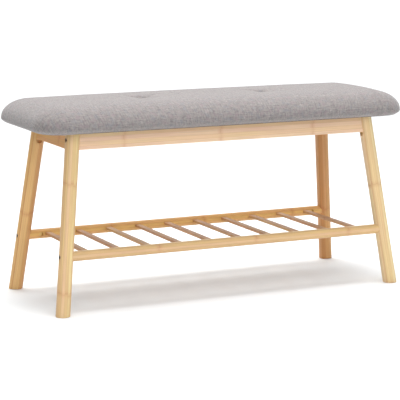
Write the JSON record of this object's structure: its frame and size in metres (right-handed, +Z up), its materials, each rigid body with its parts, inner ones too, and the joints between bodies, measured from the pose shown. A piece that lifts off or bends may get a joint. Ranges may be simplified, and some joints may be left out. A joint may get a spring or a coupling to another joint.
{
  "type": "upholstered entryway bench",
  "caption": "Entryway bench with a tufted fabric seat on splayed round bamboo legs, and an open slatted shelf for shoes between them.",
  "frame": {"origin": "on the floor, under the middle of the seat", "axes": "+X along the bench to the right, -Y to the front, +Z up"},
  "size_m": [0.9, 0.3386, 0.4475],
  "materials": {
    "bamboo": "laminated bamboo with a clear satin lacquer",
    "dowel_wood": "turned beech, bare",
    "plywood": "sanded plywood",
    "foam": "open-cell polyurethane foam",
    "cover_fabric": "light grey melange linen weave",
    "dust_cover": "black spun-bonded non-woven sheet",
    "tie_cord": "twisted nylon cord",
    "anchor_plastic": "moulded nylon",
    "black_steel": "black-oxide steel",
    "zinc_steel": "bright zinc-plated steel"
  },
  "bodies": {
    "root": {"leg_front_left": "bamboo", "leg_front_right": "bamboo", "leg_rear_left": "bamboo", "leg_rear_right": "bamboo", "apron_front": "bamboo", "apron_rear": "bamboo", "apron_left": "bamboo", "apron_right": "bamboo", "shelf_rail_front": "bamboo", "shelf_rail_rear": "bamboo", "slat_01": "bamboo", "slat_02": "bamboo", "slat_03": "bamboo", "slat_04": "bamboo", "slat_05": "bamboo", "slat_06": "bamboo", "slat_07": "bamboo", "slat_08": "bamboo", "slat_09": "bamboo", "slat_10": "bamboo", "side_apron_dowels": "dowel_wood", "seat_board": "plywood", "seat_foam": "foam", "seat_cover": "cover_fabric", "dust_cover": "dust_cover", "tuft_ties": "tie_cord", "tuft_anchors": "anchor_plastic", "frame_bolts": "black_steel", "barrel_nuts": "zinc_steel", "bracket_screws": "zinc_steel", "cover_staples": "zinc_steel", "seat_bracket_front_left": "zinc_steel", "seat_bracket_front_right": "zinc_steel", "seat_bracket_rear_left": "zinc_steel", "seat_bracket_rear_right": "zinc_steel"}
  },
  "joints": []
}
